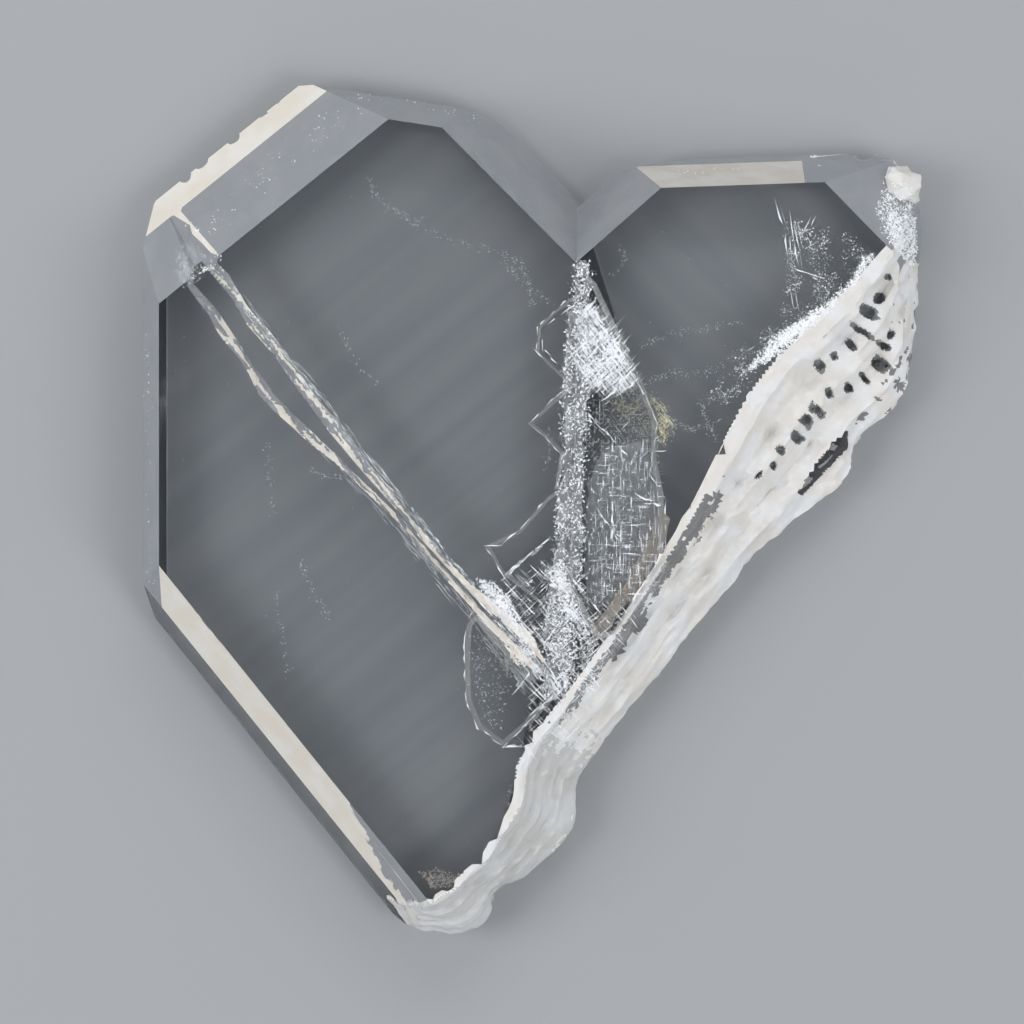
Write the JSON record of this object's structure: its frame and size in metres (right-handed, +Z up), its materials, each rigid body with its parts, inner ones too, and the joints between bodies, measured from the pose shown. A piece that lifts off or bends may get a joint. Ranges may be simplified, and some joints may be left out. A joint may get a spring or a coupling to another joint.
{
  "type": "japan law twin quartz crystal",
  "caption": "Flat heart-shaped twin of clear quartz with bevelled tip faces, a V notch, a milky seam and a rough lower right edge; lies on its broad back face.",
  "frame": {"origin": "centre of the outline at the level of the broad back face that it lies on", "axes": "+Z up out of the broad front face, +Y towards the notch between the two tips, +X towards the smaller crystal"},
  "size_m": [0.0392, 0.0428, 0.0053],
  "materials": {
    "clear_quartz": "clear and glossy, with milky fractures along the seam and the rough edge"
  },
  "bodies": {
    "root": {"twin_crystal": "clear_quartz"}
  },
  "joints": []
}
